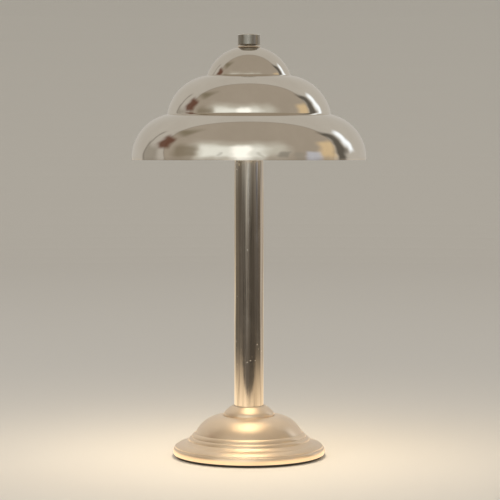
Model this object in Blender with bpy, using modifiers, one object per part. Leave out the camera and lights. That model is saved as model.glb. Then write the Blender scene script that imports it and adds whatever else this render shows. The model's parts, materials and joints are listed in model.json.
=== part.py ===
"""Table lamp with a three-tier spun metal shade, a tube stem and a turned, stepped base.

Every size below is in millimetres and MM turns it into Blender's metres. The lamp stands on
z = 0, its axis is Z, and the charging socket is at the back, on +Y.
"""
import math

import bmesh
import bpy

MM = 0.001
GAP = 0.3             # air between two pieces that touch

# Driving dimensions
STEM_R = 12.5         # one-inch tube
STEM_WALL = 1.6
STEM_BOTTOM_Z = 38.0
STEM_TOP_Z = 300.0
BASE_R = 65.2
BASE_WALL = 1.5
BASE_SEAT_Z = 34.8    # flat seat in the top of the base, under the collar
BASE_FOOT_Z = 2.5
COLLAR_R = 21.6
COLLAR_TOP_Z = 44.0
SHADE_R = 100.0
SHADE_WALL = 0.9
SHADE_RIM_Z = 254.7
CROWN_Z = 350.4       # flat top of the shade, round the dimmer's bush
CROWN_R = 10.0
KNOB_R = 9.5
KNOB_BOTTOM_Z = 352.6
KNOB_TOP_Z = 361.6
BUSH_R = 3.4          # the dimmer's threaded bush, which holds the shade
BUSH_HOLE_R = 4.0
SHADE_NUT_R = 9.8     # the collar under the knob is the nut of that bush
SHAFT_R = 2.0

# The tiers of the shade, as quarter rounds: centre radius, centre height, width and height of
# the round. Each tier ends on the seam (radius, height) where the next one stands up.
LIP_H = 2.0
TIERS = (
    (61.8, SHADE_RIM_Z + LIP_H, SHADE_R - 61.8, 37.7),
    (31.2, 287.6, 39.1, 39.1),
    (1.9, 315.8, 35.5, 35.5),
)
SEAMS = ((70.0, 293.5), (35.7, 326.4))

# Head: what hangs under the shade, round the top of the stem
HOUSING_TOP_Z = 347.9
HOUSING_WALL = 1.2
HOUSING_R = 24.0
HOUSING_FLANGE_R = 30.0
SINK_R = 39.5
SINK_Z = (303.3, 310.0)
HEAD_SEAT_Z = 303.0   # bezel, diffuser and stem head all end here, under the heat sink
DIFFUSER_R = (14.0, 33.0)
DIFFUSER_Z = 294.0
DIFFUSER_WALL = 1.2
BEZEL_LIP_Z = 292.4
BEZEL_WALL = 1.5
BEZEL_SCREW_R = 37.0
HOUSING_SCREW_R = 27.0
HEAD_SCREW_R = 8.0
LED_COUNT = 8
LED_RING_R = 23.5
LED_SIZE = (3.5, 3.5, 0.9)

# Base: what the stepped cover holds
PLATE_R = 63.5
PLATE_Z = (2.0, 3.2)
PAD_R = (53.5, 62.5)
PAD_TOP_Z = 1.7
BASE_SCREW_R = 49.5
NIPPLE_R = 5.0        # threaded tube that clamps base, collar and stem
NUT_FLATS = 17.0      # across the flats
CELL_R = 9.15         # 18650 cell
CELL_LENGTH = 65.0
CELL_Y = 20.0
CELL_Z = 15.0
SOCKET_SIZE = (9.0, 7.4, 3.3)
SOCKET_Y = 60.7
SOCKET_Z = 5.15

FINE = 40             # steps round a large turned piece
ROUND = 28
MEDIUM = 20
SMALL = 10
SCREW_TURN = 4.0      # degrees, so that no screw hole meets an edge between turned faces


def clear_scene():
    for old in list(bpy.data.objects):
        bpy.data.objects.remove(old, do_unlink=True)


def new_collection(name):
    collection = bpy.data.collections.new(name)
    bpy.context.scene.collection.children.link(collection)
    return collection


clear_scene()
LAMP = new_collection("table_lamp")
CUTTERS = new_collection("cutters")


def material(name, colour, roughness, metallic=0.0, glow=0.0):
    made = bpy.data.materials.new(name)
    made.use_nodes = True
    shader = made.node_tree.nodes["Principled BSDF"]
    shader.inputs["Base Color"].default_value = (*colour, 1.0)
    shader.inputs["Roughness"].default_value = roughness
    shader.inputs["Metallic"].default_value = metallic
    if glow:
        shader.inputs["Emission Color"].default_value = (*colour, 1.0)
        shader.inputs["Emission Strength"].default_value = glow
    return made


POLISHED = material("polished_nickel", (0.72, 0.68, 0.62), 0.08, 1.0)
STEM_METAL = material("stem_nickel", (0.66, 0.62, 0.57), 0.14, 1.0)
SATIN = material("satin_nickel", (0.74, 0.68, 0.58), 0.26, 1.0)
KNOB_METAL = material("knob_nickel", (0.42, 0.41, 0.38), 0.32, 1.0)
ALUMINIUM = material("aluminium", (0.75, 0.76, 0.77), 0.4, 1.0)
STEEL = material("zinc_steel", (0.6, 0.6, 0.58), 0.35, 1.0)
BRASS = material("brass", (0.78, 0.6, 0.32), 0.3, 1.0)
IRON = material("cast_iron", (0.12, 0.12, 0.12), 0.7, 0.8)
OPAL = material("opal_diffuser", (1.0, 0.8, 0.55), 0.4, glow=4.0)
PHOSPHOR = material("led_phosphor", (1.0, 0.82, 0.4), 0.4, glow=8.0)
WHITE_BOARD = material("led_board_white", (0.85, 0.85, 0.82), 0.5)
GREEN_BOARD = material("circuit_board", (0.05, 0.25, 0.12), 0.45)
BLACK_PLASTIC = material("black_plastic", (0.03, 0.03, 0.03), 0.5)
FIBRE = material("fibre_washer", (0.35, 0.12, 0.08), 0.8)
RUBBER = material("black_rubber", (0.02, 0.02, 0.02), 0.85)
WRAP = material("cell_wrap", (0.1, 0.28, 0.5), 0.35)
CABLE = material("cable_jacket", (0.04, 0.04, 0.04), 0.6)


def arc(start, end, bulge, count):
    """Points after start up to end on a circle that stands out from the chord by bulge.

    The bulge is to the right of the way from start to end seen with +X right and +Z up,
    turned a quarter: outward on a profile that runs down its outer side.
    """
    chord_r = end[0] - start[0]
    chord_z = end[1] - start[1]
    chord = math.hypot(chord_r, chord_z)
    out_r = -chord_z / chord
    out_z = chord_r / chord
    radius = chord * chord / (8 * abs(bulge)) + abs(bulge) / 2
    half = math.asin(chord / (2 * radius))
    points = []
    for step in range(1, count + 1):
        turn = half * (2 * step / count - 1)
        along = 0.5 + math.sin(turn) * radius / chord
        lift = math.copysign(math.cos(turn) * radius - radius + abs(bulge), bulge)
        points.append((start[0] + chord_r * along + out_r * lift,
                       start[1] + chord_z * along + out_z * lift))
    return points


def quarter_round(tier, low, high, inset, count):
    """Points on one tier from angle high down to angle low, moved inward by inset."""
    centre_r, centre_z, width, height = tier
    points = []
    for step in range(count + 1):
        angle = high + (low - high) * step / count
        points.append((centre_r + (width - inset) * math.cos(angle),
                       centre_z + (height - inset) * math.sin(angle)))
    return points


def shade_profile(count, count_inside):
    """Closed outline of the shade: down its outside, up its inside."""
    outside = [(BUSH_HOLE_R, CROWN_Z)]
    inside = [(BUSH_HOLE_R, CROWN_Z - SHADE_WALL)]
    tops = [CROWN_R] + [seam[0] for seam in reversed(SEAMS)]
    feet = [seam[1] for seam in reversed(SEAMS)] + [SHADE_RIM_Z + LIP_H]
    for tier, top_r, foot_z in zip(reversed(TIERS), tops, feet):
        centre_r, centre_z, width, height = tier
        high = math.acos((top_r - centre_r) / width)
        low = math.asin((foot_z - centre_z) / height)
        outside += quarter_round(tier, low, high, 0.0, count)
        # inside, a tier starts under the wall of the tier above and ends level with its own
        high_in = math.acos((top_r - SHADE_WALL - centre_r) / (width - SHADE_WALL))
        low_in = math.asin((foot_z - SHADE_WALL - centre_z) / (height - SHADE_WALL))
        if top_r == CROWN_R:
            high_in = math.acos((top_r - centre_r) / (width - SHADE_WALL))
        if tier is TIERS[0]:
            low_in = 0.0
        inside += quarter_round(tier, low_in, high_in, SHADE_WALL, count_inside)
    outside.append((SHADE_R, SHADE_RIM_Z))
    inside.append((SHADE_R - SHADE_WALL, SHADE_RIM_Z))
    return tidy_outline(outside + list(reversed(inside)))


def tidy_outline(points, closest=0.25):
    """The outline without points that almost touch the one before them."""
    kept = [points[0]]
    for point in points[1:]:
        if math.dist(point, kept[-1]) > closest:
            kept.append(point)
    return kept


def link(name, mesh, mat):
    made = bpy.data.objects.new(name, mesh)
    mesh.materials.append(mat)
    LAMP.objects.link(made)
    return made


def smooth(mesh):
    mesh.shade_smooth()
    mesh.set_sharp_from_angle(angle=math.radians(35))


def turned(name, profile, mat, steps=MEDIUM, at=(0.0, 0.0), closed=True):
    """A turned piece. The profile runs down its outer side and, if closed, up its bore."""
    mesh = bpy.data.meshes.new(name)
    points = [(radius * MM, 0.0, height * MM) for radius, height in profile]
    edges = [(index, index + 1) for index in range(len(points) - 1)]
    if closed:
        edges.append((len(points) - 1, 0))
    mesh.from_pydata(points, edges, [])
    made = link(name, mesh, mat)
    made.location = (at[0] * MM, at[1] * MM, 0.0)
    screw = made.modifiers.new("turn", 'SCREW')
    screw.axis = 'Z'
    screw.angle = math.tau
    screw.steps = steps
    screw.render_steps = steps
    screw.use_merge_vertices = True
    screw.merge_threshold = 0.0001
    screw.use_smooth_shade = True
    return made


def ring(name, bore, radius, bottom, top, mat, steps=MEDIUM):
    """A plain turned ring or tube."""
    profile = [(bore, top), (radius, top), (radius, bottom), (bore, bottom)]
    return turned(name, profile, mat, steps)


def box(name, size, centre, mat=None, bevel=0.0):
    """A box given by its size and centre; with no material it is a cutter."""
    bpy.ops.mesh.primitive_cube_add(size=1.0)
    made = bpy.context.active_object
    made.name = name
    made.data.name = name
    for side in made.users_collection:
        side.objects.unlink(made)
    for vertex in made.data.vertices:
        vertex.co = [part * length * MM for part, length in zip(vertex.co, size)]
    made.location = [place * MM for place in centre]
    if mat is None:
        CUTTERS.objects.link(made)
        hide_cutter(made)
        return made
    made.data.materials.append(mat)
    LAMP.objects.link(made)
    if bevel:
        rounded = made.modifiers.new("edges", 'BEVEL')
        rounded.width = bevel * MM
        rounded.segments = 2
    return made


def hide_cutter(made):
    made.hide_render = True
    made.display_type = 'WIRE'


def cylinder(name, radius, bottom, top, steps):
    """The mesh of an upright cylinder centred on its own origin."""
    mesh = bpy.data.meshes.new(name)
    shape = bmesh.new()
    bmesh.ops.create_cone(shape, cap_ends=True, segments=steps, radius1=radius * MM,
                          radius2=radius * MM, depth=(top - bottom) * MM)
    shape.to_mesh(mesh)
    shape.free()
    return mesh


def disc(name, radius, bottom, top, mat, steps):
    """A flat round plate."""
    made = link(name, cylinder(name, radius, bottom, top, steps), mat)
    made.location.z = (top + bottom) / 2 * MM
    smooth(made.data)
    return made


def rod_cutter(name, radius, bottom, top, at):
    """A round cutter standing on Z."""
    made = bpy.data.objects.new(name, cylinder(name, radius, bottom, top, SMALL))
    made.location = (at[0] * MM, at[1] * MM, (top + bottom) / 2 * MM)
    CUTTERS.objects.link(made)
    hide_cutter(made)
    return made


def boolean(target, tool, operation='DIFFERENCE'):
    step = target.modifiers.new(tool.name, 'BOOLEAN')
    step.operation = operation
    step.object = tool
    step.solver = 'EXACT'


def around(radius, count, first_degrees):
    """Places evenly spaced on a circle."""
    places = []
    for index in range(count):
        angle = math.radians(first_degrees) + math.tau * index / count
        places.append((radius * math.cos(angle), radius * math.sin(angle)))
    return places


def screw_set(stem_name, places, head, shank, mat=STEEL):
    """Pan-head screws, head up or head down, each its own piece.

    head and shank are (radius, height at the free end), and they meet at head[2].
    """
    for index, place in enumerate(places, start=1):
        head_r, head_end, seat = head
        shank_r, shank_end = shank
        crown = 0.35 * head_r
        if head_end > shank_end:
            profile = [(0.0, head_end), (head_r - crown, head_end), (head_r, head_end - crown)]
            profile += [(head_r, seat), (shank_r, seat), (shank_r, shank_end), (0.0, shank_end)]
        else:
            profile = [(0.0, shank_end), (shank_r, shank_end), (shank_r, seat), (head_r, seat)]
            profile += [(head_r, head_end + crown), (head_r - crown, head_end), (0.0, head_end)]
        turned(f"{stem_name}_{index}", profile, mat, SMALL, place, closed=False)


def drill(target, places, radius, bottom, top):
    for index, place in enumerate(places, start=1):
        boolean(target, rod_cutter(f"{target.name}_hole_{radius}_{index}", radius, bottom, top, place))


def wire(name, route, radius, mat):
    """A cable along a smooth route, as a round curve with filled ends."""
    curve = bpy.data.curves.new(name, 'CURVE')
    curve.dimensions = '3D'
    curve.bevel_depth = radius * MM
    curve.bevel_resolution = 2
    curve.use_fill_caps = True
    spline = curve.splines.new('POLY')
    spline.points.add(len(route) - 1)
    for point, place in zip(spline.points, route):
        point.co = (place[0] * MM, place[1] * MM, place[2] * MM, 1.0)
    curve.materials.append(mat)
    made = bpy.data.objects.new(name, curve)
    LAMP.objects.link(made)
    return made


# ---- shade -------------------------------------------------------------------------------

def make_shade():
    turned("shade", shade_profile(5, 4), POLISHED, FINE)
    bottom = CROWN_Z + GAP
    top = bottom + 0.9
    bore = BUSH_R + GAP
    collar = [(bore, top), (SHADE_NUT_R - 1.0, top), (SHADE_NUT_R - 0.4, top - 0.4),
              (SHADE_NUT_R, bottom), (bore, bottom)]
    turned("shade_collar", collar, SATIN)
    under_crown = CROWN_Z - SHADE_WALL
    ring("shade_washer", BUSH_HOLE_R, CROWN_R, under_crown - 1.3, under_crown - GAP, FIBRE)


# ---- dimmer ------------------------------------------------------------------------------

def make_dimmer():
    """The knob turns to dim and is pressed to switch; its shaft slides in the rotor."""
    edge = 0.6
    recess_r = 6.5
    recess_z = KNOB_BOTTOM_Z + 2.0
    bore = SHAFT_R + GAP
    bore_z = KNOB_BOTTOM_Z + 6.4
    knob = [(0.0, KNOB_TOP_Z), (KNOB_R - edge, KNOB_TOP_Z), (KNOB_R, KNOB_TOP_Z - edge),
            (KNOB_R, KNOB_BOTTOM_Z + edge / 2), (KNOB_R - edge / 2, KNOB_BOTTOM_Z),
            (recess_r, KNOB_BOTTOM_Z), (recess_r, recess_z), (bore, recess_z), (bore, bore_z),
            (0.0, bore_z)]
    turned("dimmer_knob", knob, KNOB_METAL, closed=False)

    can_r = 9.0
    can_bore = 7.4
    can_top = HOUSING_TOP_Z - 1.5
    can_bottom = can_top - 10.4
    bush_top = CROWN_Z + 1.8
    can = [(bore, bush_top), (BUSH_R, bush_top), (BUSH_R, can_top), (can_r, can_top),
           (can_r, can_bottom), (can_bore, can_bottom), (can_bore, can_top - 1.8),
           (bore, can_top - 1.8)]
    turned("dimmer_body", can, STEEL)
    cover_r = can_bore - GAP
    cover_top = can_bottom + 1.4
    cover = [(0.0, cover_top), (cover_r, cover_top), (cover_r, can_bottom + 0.2),
             (0.0, can_bottom + 0.2)]
    turned("dimmer_cover", cover, BLACK_PLASTIC, closed=False)

    # pressed all the way, the shaft still clears the cover under it
    shaft_bottom = cover_top + 1.2
    shaft = [(0.0, bore_z - GAP), (SHAFT_R, bore_z - GAP), (SHAFT_R, shaft_bottom),
             (0.0, shaft_bottom)]
    turned("dimmer_shaft", shaft, BRASS, closed=False)
    rotor_bottom = shaft_bottom + 1.4
    ring("dimmer_rotor", bore, cover_r - GAP, rotor_bottom, rotor_bottom + 2.2, BLACK_PLASTIC)


# ---- light head --------------------------------------------------------------------------

def make_head():
    sink_bottom, sink_top = SINK_Z
    bezel_places = around(BEZEL_SCREW_R, 3, 90 + SCREW_TURN)
    housing_places = around(HOUSING_SCREW_R, 2, SCREW_TURN)
    head_places = around(HEAD_SCREW_R, 3, 30 + SCREW_TURN)

    bush_hole = BUSH_R + 0.4
    shoulder = (10.0, HOUSING_TOP_Z)
    hip = (HOUSING_R, HOUSING_TOP_Z - 12.9)
    flange = sink_top + 1.5
    shoulder_in = (shoulder[0] - 0.5, shoulder[1] - HOUSING_WALL)
    hip_in = (hip[0] - HOUSING_WALL, hip[1] - 0.4)
    housing = [(bush_hole, HOUSING_TOP_Z), shoulder]
    housing += arc(shoulder, hip, 2.0, 4)
    housing += [(HOUSING_R, flange), (HOUSING_FLANGE_R, flange), (HOUSING_FLANGE_R, sink_top + GAP),
                (hip_in[0], sink_top + GAP), hip_in]
    housing += list(reversed(arc(shoulder_in, hip_in, 2.0, 4)))[1:]
    housing += [shoulder_in, (bush_hole, shoulder_in[1])]
    housing_cup = turned("head_housing", housing, STEEL)
    drill(housing_cup, housing_places, 1.4, sink_top - 1.0, sink_top + 3.0)
    screw_set("housing_screw", housing_places, (1.9, sink_top + 3.0, sink_top + 1.8),
              (1.1, sink_bottom + 1.2))

    sink = ring("heat_sink", 5.0, SINK_R, sink_bottom, sink_top, ALUMINIUM, ROUND)
    drill(sink, bezel_places, 1.4, sink_bottom - 1.0, sink_top + 1.0)
    drill(sink, housing_places, 1.5, sink_bottom - 1.0, sink_top + 1.0)
    drill(sink, head_places, 1.6, sink_bottom - 1.0, sink_top + 1.0)
    screw_set("head_screw", head_places, (2.2, sink_top + 1.6, sink_top + GAP),
              (1.3, STEM_TOP_Z - 6.0))

    ring("led_board", 17.0, 31.0, sink_bottom - 1.9, sink_bottom - GAP, WHITE_BOARD)
    led_z = sink_bottom - 1.9 - GAP - LED_SIZE[2] / 2
    for index, place in enumerate(around(LED_RING_R, LED_COUNT, 0), start=1):
        led = box(f"led_{index}", LED_SIZE, (*place, led_z), PHOSPHOR)
        led.rotation_euler.z = math.atan2(place[1], place[0])

    hole_r, rim_r = DIFFUSER_R
    corner = 0.8
    inner_top = STEM_TOP_Z
    floor = DIFFUSER_Z + 1.4
    diffuser = [(rim_r - DIFFUSER_WALL, HEAD_SEAT_Z), (rim_r, HEAD_SEAT_Z),
                (rim_r, DIFFUSER_Z + corner), (rim_r - corner, DIFFUSER_Z),
                (hole_r + corner, DIFFUSER_Z), (hole_r, DIFFUSER_Z + corner), (hole_r, inner_top),
                (hole_r + DIFFUSER_WALL, inner_top), (hole_r + DIFFUSER_WALL, floor),
                (rim_r - DIFFUSER_WALL, floor)]
    turned("diffuser", diffuser, OPAL, ROUND)
    bezel_in = rim_r + GAP
    bezel_out = bezel_in + BEZEL_WALL
    flange_z = HEAD_SEAT_Z - 1.4
    lip_r = rim_r - 1.6
    lip_z = DIFFUSER_Z - GAP
    bezel = [(bezel_in, HEAD_SEAT_Z), (SINK_R, HEAD_SEAT_Z), (SINK_R, flange_z),
             (bezel_out, flange_z), (bezel_out, BEZEL_LIP_Z + 0.6), (bezel_out - 0.6, BEZEL_LIP_Z),
             (lip_r, BEZEL_LIP_Z), (lip_r, lip_z), (bezel_in, lip_z)]
    bezel_ring = turned("diffuser_bezel", bezel, SATIN, ROUND)
    drill(bezel_ring, bezel_places, 1.4, flange_z - 1.0, HEAD_SEAT_Z + 1.0)
    screw_set("bezel_screw", bezel_places, (1.9, flange_z - 1.5, flange_z - GAP),
              (1.1, sink_top - 1.5))

    cable_hole = 3.5
    shoulder_r = 15.8
    plug_r = STEM_R - STEM_WALL - 0.4
    plug_bottom = STEM_TOP_Z - 15.0
    head = [(cable_hole, HEAD_SEAT_Z), (shoulder_r, HEAD_SEAT_Z), (shoulder_r, STEM_TOP_Z + GAP),
            (plug_r, STEM_TOP_Z + GAP), (plug_r, plug_bottom), (cable_hole, plug_bottom)]
    stem_head = turned("stem_head", head, BRASS)
    drill(stem_head, head_places, 1.6, STEM_TOP_Z - 8.0, HEAD_SEAT_Z + 2.0)


# ---- stem --------------------------------------------------------------------------------

def make_stem():
    bore = STEM_R - STEM_WALL
    ring("stem", bore, STEM_R, STEM_BOTTOM_Z, STEM_TOP_Z, STEM_METAL, ROUND)
    plug_r = bore - 0.4
    foot_r = STEM_R - GAP
    nipple_hole = NIPPLE_R + GAP
    bush_top = STEM_BOTTOM_Z + 22.0
    bush = [(nipple_hole, bush_top), (plug_r, bush_top), (plug_r, STEM_BOTTOM_Z - GAP),
            (foot_r, STEM_BOTTOM_Z - GAP), (foot_r, BASE_SEAT_Z + GAP),
            (nipple_hole, BASE_SEAT_Z + GAP)]
    turned("stem_foot_bush", bush, BRASS)
    ring("base_nipple", 3.3, NIPPLE_R, 24.0, bush_top - 2.0, STEEL)
    under_seat = BASE_SEAT_Z - BASE_WALL
    ring("lock_washer", nipple_hole, 11.0, under_seat - 1.8, under_seat - GAP, STEEL)
    nut = disc("base_nut", NUT_FLATS / 2 / math.cos(math.radians(30)), under_seat - 7.4,
               under_seat - 2.1, STEEL, 6)
    nut.data.shade_flat()
    drill(nut, [(0.0, 0.0)], NIPPLE_R + 0.5, 0.0, BASE_SEAT_Z)
    wire("stem_cable", [(0.0, 0.0, 9.6), (0.0, 0.0, 60.0), (0.0, 0.0, 200.0), (0.0, 0.0, 335.6)],
         2.2, CABLE)


# ---- base --------------------------------------------------------------------------------

def base_outline():
    """Closed outline of the base cover: dome, two beads, cove, flange and rim bead."""
    under_seat = BASE_SEAT_Z - BASE_WALL
    bore = NIPPLE_R + 0.5
    shoulder = (22.6, BASE_SEAT_Z + 0.8)
    dome_foot = (45.8, 20.9)
    outline = [(bore, BASE_SEAT_Z), (shoulder[0] - 0.6, BASE_SEAT_Z), shoulder]
    outline += arc(shoulder, dome_foot, 3.9, 5)
    outline += [(46.1, 20.3), (46.4, 20.6)]
    outline += arc((46.4, 20.6), (49.0, 18.0), 0.3, 2)
    outline += [(49.1, 17.3), (49.5, 17.3)]
    outline += arc((49.5, 17.3), (51.9, 15.2), 0.3, 2)
    outline += [(51.9, 14.8), (52.3, 14.4)]
    outline += arc((52.3, 14.4), (56.2, 12.0), -0.35, 2)
    outline += arc((56.2, 12.0), (63.7, 9.1), 0.7, 3)
    outline += [(63.8, 8.2), (64.7, 7.6)]
    outline += arc((64.7, 7.6), (64.7, BASE_FOOT_Z), BASE_R - 64.7, 2)

    wall_r = 63.9
    dome_foot_in = (45.2, 19.1)
    outline += [(wall_r, BASE_FOOT_Z), (wall_r, 5.8), (61.6, 7.8), (56.0, 10.3), (50.7, 13.1),
                (50.1, 15.0)]
    outline += list(reversed(arc((20.8, under_seat), dome_foot_in, 3.5, 3)))
    outline += [(20.8, under_seat), (bore, under_seat)]
    return outline


def make_base():
    cover = turned("base_cover", base_outline(), SATIN, FINE)
    slot = box("socket_slot", (9.8, 10.0, 4.0), (0.0, BASE_R, SOCKET_Z))
    boolean(cover, slot)

    bore = STEM_R + 0.4
    foot = BASE_SEAT_Z + GAP
    collar = [(bore, COLLAR_TOP_Z), (bore + 0.5, COLLAR_TOP_Z)]
    collar += arc((bore + 0.5, COLLAR_TOP_Z), (COLLAR_R, foot + 0.8), 1.4, 5)
    collar += [(COLLAR_R, foot + 0.4), (COLLAR_R - 0.4, foot), (bore, foot)]
    turned("base_collar", collar, SATIN, ROUND)

    floor = PLATE_Z[1] + GAP
    weight = [(45.5, 17.9), (49.3, 14.5), (49.8, 12.7), (55.5, 9.7), (60.3, 7.4), (61.5, 6.3),
              (61.5, floor), (45.5, floor)]
    weight_ring = turned("base_weight", weight, IRON, ROUND)
    notch = box("weight_notch", (26.0, 30.0, 40.0), (0.0, 55.0, 12.0))
    boolean(weight_ring, notch)
    screw_places = around(BASE_SCREW_R, 3, 30 + SCREW_TURN)
    drill(weight_ring, screw_places, 1.8, PLATE_Z[1] - 1.0, 10.0)

    plate_disc = disc("base_plate", PLATE_R, *PLATE_Z, STEEL, FINE)
    drill(plate_disc, screw_places, 1.8, PLATE_Z[0] - 1.0, PLATE_Z[1] + 1.0)
    screw_set("base_screw", screw_places, (2.75, 0.5, PAD_TOP_Z), (1.5, 8.4))
    ring("foot_pad", *PAD_R, 0.0, PAD_TOP_Z, RUBBER, FINE)


def make_electronics():
    """Cells, boards and leads that the base holds, and the socket at its back."""
    floor = PLATE_Z[1] + GAP
    for index, side in enumerate((-1, 1), start=1):
        cell = [(0.0, CELL_LENGTH / 2), (CELL_R - 1.0, CELL_LENGTH / 2),
                (CELL_R, CELL_LENGTH / 2 - 1.0), (CELL_R, 1.0 - CELL_LENGTH / 2),
                (CELL_R - 1.0, -CELL_LENGTH / 2), (0.0, -CELL_LENGTH / 2)]
        laid = turned(f"battery_cell_{index}", cell, WRAP, MEDIUM, closed=False)
        laid.location = (0.0, side * CELL_Y * MM, CELL_Z * MM)
        laid.rotation_euler.y = math.radians(90)

    tray_top = 12.0
    tray = box("battery_tray", (67.6, 59.2, tray_top - floor), (0.0, 0.0, (tray_top + floor) / 2),
               BLACK_PLASTIC)
    trough_floor = floor + 2.0
    trough = box("tray_trough", (CELL_LENGTH + 0.6, 80.0, 20.0), (0.0, 0.0, trough_floor + 10.0))
    boolean(tray, trough)
    box("control_board", (60.0, 17.0, 1.6), (0.0, 0.0, trough_floor + 1.6), GREEN_BOARD)

    socket_back = SOCKET_Y - SOCKET_SIZE[1] / 2
    board_y = (31.0, socket_back - GAP)
    box("charge_board", (22.0, board_y[1] - board_y[0], 1.2),
        (0.0, (board_y[0] + board_y[1]) / 2, SOCKET_Z), GREEN_BOARD)
    socket = box("usb_socket", SOCKET_SIZE, (0.0, SOCKET_Y, SOCKET_Z), STEEL, bevel=0.9)
    mouth = box("socket_mouth", (SOCKET_SIZE[0] - 0.8, SOCKET_SIZE[1], SOCKET_SIZE[2] - 0.8),
                (0.0, SOCKET_Y + 1.0, SOCKET_Z))
    boolean(socket, mouth)
    tongue = box("socket_tongue", (6.4, SOCKET_SIZE[1] - 1.6, 0.7),
                 (0.0, SOCKET_Y - 0.6, SOCKET_Z))
    boolean(socket, tongue, 'UNION')

    # the charging lead leaves the board, runs up and over the rear cell, and comes down to
    # the control board between the cells
    lead_x = 16.0
    bend_r = CELL_R + 1.9
    lead_r = 1.0
    board_top = SOCKET_Z + 0.6
    route = [(9.0, 33.0, board_top + lead_r + GAP), (12.5, 32.2, board_top + 2.6),
             (15.0, CELL_Y + bend_r, CELL_Z - 4.0)]
    for step in range(9):
        angle = math.pi * step / 8
        route.append((lead_x, CELL_Y + bend_r * math.cos(angle), CELL_Z + bend_r * math.sin(angle)))
    route.append((lead_x, 8.0, CELL_Z - 3.0))
    route.append((lead_x, 6.5, trough_floor + 2.4 + lead_r + GAP))
    wire("charge_lead", route, lead_r, CABLE)


make_shade()
make_dimmer()
make_head()
make_stem()
make_base()
make_electronics()
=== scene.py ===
"""Looks of the table lamp: fine turned metal, glass-smooth shade, lit diffuser, studio and camera."""
import json
import math

import bmesh
import bpy
from mathutils import Matrix, Vector


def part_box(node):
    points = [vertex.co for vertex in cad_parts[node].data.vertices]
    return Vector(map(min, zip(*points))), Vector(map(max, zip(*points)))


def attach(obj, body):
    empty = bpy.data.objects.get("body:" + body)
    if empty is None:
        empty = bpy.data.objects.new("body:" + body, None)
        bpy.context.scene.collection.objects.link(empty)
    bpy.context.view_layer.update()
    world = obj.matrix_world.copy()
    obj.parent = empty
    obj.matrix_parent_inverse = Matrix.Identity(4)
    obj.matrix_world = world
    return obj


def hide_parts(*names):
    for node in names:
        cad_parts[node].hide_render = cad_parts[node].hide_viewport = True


MM = 0.001

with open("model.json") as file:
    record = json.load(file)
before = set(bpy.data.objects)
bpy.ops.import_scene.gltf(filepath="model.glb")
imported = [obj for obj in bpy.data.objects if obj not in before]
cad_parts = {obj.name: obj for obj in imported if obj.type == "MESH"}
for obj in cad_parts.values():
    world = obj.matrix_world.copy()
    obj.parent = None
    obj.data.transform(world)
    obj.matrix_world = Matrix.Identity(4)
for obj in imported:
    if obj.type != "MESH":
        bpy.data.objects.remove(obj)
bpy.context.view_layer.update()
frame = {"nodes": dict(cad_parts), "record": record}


# ---- places and sizes, read from the frame ------------------------------------------------

def span(node):
    """(radius, lowest height, highest height) of a turned node, in millimetres."""
    low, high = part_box(node)
    return high.x / MM, low.z / MM, high.z / MM


SHADE_R, SHADE_RIM_Z, CROWN_Z = span("shade")
STEM_R, STEM_BOTTOM_Z, STEM_TOP_Z = span("stem")
KNOB_R, KNOB_BOTTOM_Z, KNOB_TOP_Z = span("dimmer_knob")
RING_R, RING_BOTTOM_Z, RING_TOP_Z = span("shade_collar")
BASE_R, BASE_BOTTOM_Z, BASE_TOP_Z = span("base_cover")
CUP_R, CUP_BOTTOM_Z, CUP_TOP_Z = span("base_collar")
PAD_R, PAD_BOTTOM_Z, PAD_TOP_Z = span("foot_pad")
OPAL_R, OPAL_BOTTOM_Z, OPAL_TOP_Z = span("diffuser")
BEZEL_R, BEZEL_BOTTOM_Z, BEZEL_TOP_Z = span("diffuser_bezel")

SHADE_WALL = 0.9
CROWN_R = 10.0
LIP_H = 2.0
BUSH_HOLE_R = 4.0
# quarter rounds: centre radius, centre height, width and height; then the seams between them
TIERS = (
    (61.8, SHADE_RIM_Z + LIP_H, SHADE_R - 61.8, 37.7),
    (31.2, SHADE_RIM_Z + 32.9, 39.1, 39.1),
    (1.9, SHADE_RIM_Z + 61.1, 35.5, 35.5),
)
SEAMS = ((70.0, SHADE_RIM_Z + 38.8), (35.7, SHADE_RIM_Z + 71.7))

BASE_WALL = 1.5
STEM_WALL = 1.6
OPAL_WALL = 1.2
OPAL_HOLE_R = 14.0
BEZEL_WALL = 1.5
PAD_WIDTH = 9.0
CUP_HOLE_R = 12.9
SINK_HOLE_R = 5.0
GAP = 0.3                 # between two fitted pieces
LED_COUNT = 8
LED_RING_R = 23.5


def add_object(name, data):
    made = bpy.data.objects.new(name, data)
    bpy.context.scene.collection.objects.link(made)
    return made


# ---- outlines -----------------------------------------------------------------------------

def arc(start, end, bulge, count):
    """Points after start up to end on a circle standing out from the chord by bulge."""
    chord_r = end[0] - start[0]
    chord_z = end[1] - start[1]
    chord = math.hypot(chord_r, chord_z)
    radius = chord * chord / (8 * abs(bulge)) + abs(bulge) / 2
    half = math.asin(chord / (2 * radius))
    points = []
    for step in range(1, count + 1):
        turn = half * (2 * step / count - 1)
        along = 0.5 + math.sin(turn) * radius / chord
        lift = math.copysign(math.cos(turn) * radius - radius + abs(bulge), bulge) / chord
        points.append((start[0] + chord_r * along - chord_z * lift,
                       start[1] + chord_z * along + chord_r * lift))
    return points


def quarter_round(tier, low, high, inset, count):
    """Points on one tier from angle high down to angle low, moved inward by inset."""
    centre_r, centre_z, width, height = tier
    points = []
    for step in range(count + 1):
        angle = high + (low - high) * step / count
        points.append((centre_r + (width - inset) * math.cos(angle),
                       centre_z + (height - inset) * math.sin(angle)))
    return points


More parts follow.
